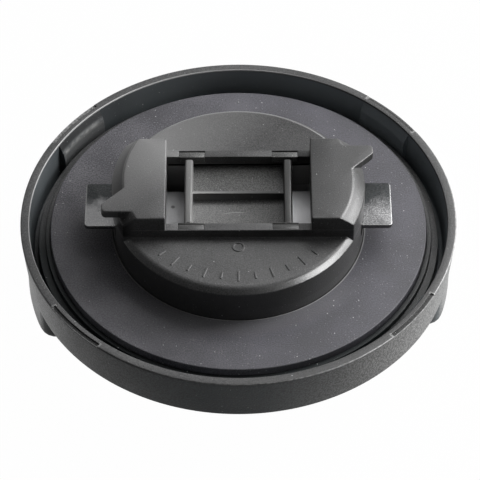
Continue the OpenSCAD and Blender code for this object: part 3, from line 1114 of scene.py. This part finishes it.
# Painted light and shade: the left bar is painted pale and the right bar nearly black.
bars_painted_light = blend(ramp(x, -8 * MM, 8 * MM), left_bar_painted_lit, grey(0.016))
base = paint(base, times(on_bars, 0.85), bars_painted_light)
base = paint(base, ramp(y, -7.7 * MM, -7.9 * MM, 0, 0.6), grey(0.016))

on_web = ramp(z, web_z + 0.05 * MM, web_z + 0.1 * MM, 1, 0)
at_rear = ramp(y, 2.5 * MM, 6 * MM, 0, 0.9)
below_rib = times(ramp(y, -3 * MM, -1.5 * MM, 0, 0.9), ramp(y, -0.5 * MM, 0, 1, 0))
web_specks = specks(spacing=0.45 * MM, size=0.07 * MM, share=0.6)
web_dust = times(web_specks, on_web, largest(at_rear, below_rib))
from_scratch = gap_from(distance_of(gap_from(x, scratch_x), gap_from(y, scratch_y)), scratch_r)
scratch = times(ramp(from_scratch, 0.04 * MM, 0.1 * MM, 0.7, 0),
                ramp(gap_from(x, scratch_middle_x), 1.2 * MM, 2.3 * MM, 1, 0), on_web)
dust = largest(specks(spacing=0.8 * MM, size=0.09 * MM, share=0.22), web_dust, scratch)
join(paint(base, dust, grey(0.3)), shader.inputs["Base Color"])
add_bump(shader, grain(0.2 * MM, 3), 0.02 * MM)
put_on(clip, clip_plastic)

# %% [markdown]
# ## Floor and world
#
# The cap lies on a plain pale floor that runs out of view. Floor and world look white to the
# camera and in shiny faces, but they light the cap only a little, so the lamps shape it. In front
# of the cap and far to the left the white is dimmed in reflections. A real studio is dark there,
# and the walls that face the camera then stay black.

# %% Lay the floor
floor_size = 3
floor_dark_y = -45 * MM
floor_white_y = -10 * MM
dimmed = 0.15
floor_glow = 0.99


def seen_white(mirrored):
    """1 for the camera and for glass, and the mirrored share for shiny faces."""
    ray = add_node("ShaderNodeLightPath").outputs
    in_shine = times(ray["Is Glossy Ray"], mirrored)
    return largest(ray["Is Camera Ray"], in_shine, ray["Is Transmission Ray"])


bpy.ops.object.select_all(action="DESELECT")
bpy.ops.mesh.primitive_plane_add(size=floor_size, location=(0, 0, 0))
floor = bpy.context.object
floor.name = "floor"
white, shader = start_finish("white_floor", grey(0.38), 0.9)
glow = add_node("ShaderNodeEmission")
glow.inputs["Color"].default_value = (1, 1, 1, 1)
mix = add_node("ShaderNodeMixShader")
x, y, z, radius = where()
mirrored = ramp(y, floor_dark_y, floor_white_y, dimmed, 1)
join(times(seen_white(mirrored), floor_glow), mix.inputs[0])
join(shader.outputs[0], mix.inputs[1])
join(glow.outputs[0], mix.inputs[2])
join(mix.outputs[0], white.node_tree.nodes["Material Output"].inputs["Surface"])
floor.data.materials.append(white)
print("floor laid")

# %% Light the world dimly and show it white
world_light = 0.055
world = bpy.data.worlds.new("studio")
bpy.context.scene.world = world
world.use_nodes = True
bench["tree"] = world.node_tree
background = world.node_tree.nodes["Background"]
background.inputs["Color"].default_value = (1, 1, 1, 1)
x, y, z, radius = where("Generated")
behind = times(ramp(y, -0.6, 0.2, dimmed, 1), ramp(x, -0.9, -0.2, 0.3, 1))
join(ramp(seen_white(behind), 0, 1, world_light, 1), background.inputs["Strength"])
print("world light", world_light)

# %% [markdown]
# ## Lamps
#
# Four square lamps stand around the cap, each aimed at the gasket's face. A large softbox at the
# back right gives the main light, and a smaller one lower at the right lights the skirt's right
# side. Two more show only in reflections: one makes the highlight on the spigot's chamfer, and a
# small one draws the fine edges. The angle for such a lamp follows from the highlight it has to
# make: mirror the camera's line of sight on the face there, and hang the lamp where it points.

# %% Place the lamps
def soft_lamp(name, turn, height_angle, distance, size, power, diffuse=True):
    """A square lamp that looks at the cap. Both angles are in degrees, and the turn starts at +X."""
    turn = math.radians(turn)
    height_angle = math.radians(height_angle)
    level = distance * math.cos(height_angle)
    place = (level * math.cos(turn), level * math.sin(turn), distance * math.sin(height_angle))
    bpy.ops.object.light_add(type="AREA", location=place)
    lamp = bpy.context.object
    lamp.name = name
    lamp.data.size = size
    lamp.data.energy = power
    lamp.visible_diffuse = diffuse
    lamp.rotation_euler = (Vector((0, 0, face_z)) - Vector(place)).to_track_quat("-Z", "Y").to_euler()
    print(name, "gives", power, "W")


soft_lamp("key_softbox", turn=45, height_angle=48, distance=0.42, size=0.3, power=1.15)
soft_lamp("right_softbox", turn=20, height_angle=26, distance=0.32, size=0.14, power=1.4)
soft_lamp("shine_lamp", turn=-17, height_angle=30, distance=0.4, size=0.2, power=3.3, diffuse=False)
soft_lamp("edge_lamp", turn=50, height_angle=28, distance=0.5, size=0.07, power=0.5, diffuse=False)

# %% [markdown]
# ## Camera
#
# The camera was fitted to the circles of the rim, the gasket and the spigot. It stands about half
# a metre away, 47 degrees above the level, and looks just below the middle of the gasket's face.

# %% Set up the camera
camera_distance = 517 * MM
camera_height_angle = math.radians(47.408)
focal_in_pixels = 2881.4
picture_width = 480
sensor_width = 36
aim_right = 0.275 * MM
aim_down = 2.689 * MM
camera_roll = math.radians(-0.149)

centre = Vector((0, 0, face_z))
back = Vector((0, -math.cos(camera_height_angle), math.sin(camera_height_angle)))
up = Vector((0, math.sin(camera_height_angle), math.cos(camera_height_angle)))
bpy.ops.object.camera_add(location=centre + back * camera_distance)
camera = bpy.context.object
camera.data.sensor_width = sensor_width
camera.data.lens = sensor_width * focal_in_pixels / picture_width
aim = centre + Vector((aim_right, 0, 0)) - up * aim_down
toward = (aim - camera.location).to_track_quat("-Z", "Y").to_matrix().to_4x4()
camera.rotation_euler = (toward @ Matrix.Rotation(camera_roll, 4, "Z")).to_euler()
camera.data.clip_start = 0.01
bpy.context.scene.camera = camera
bpy.context.scene.view_settings.view_transform = "Standard"
print("lens", round(camera.data.lens, 1), "mm")
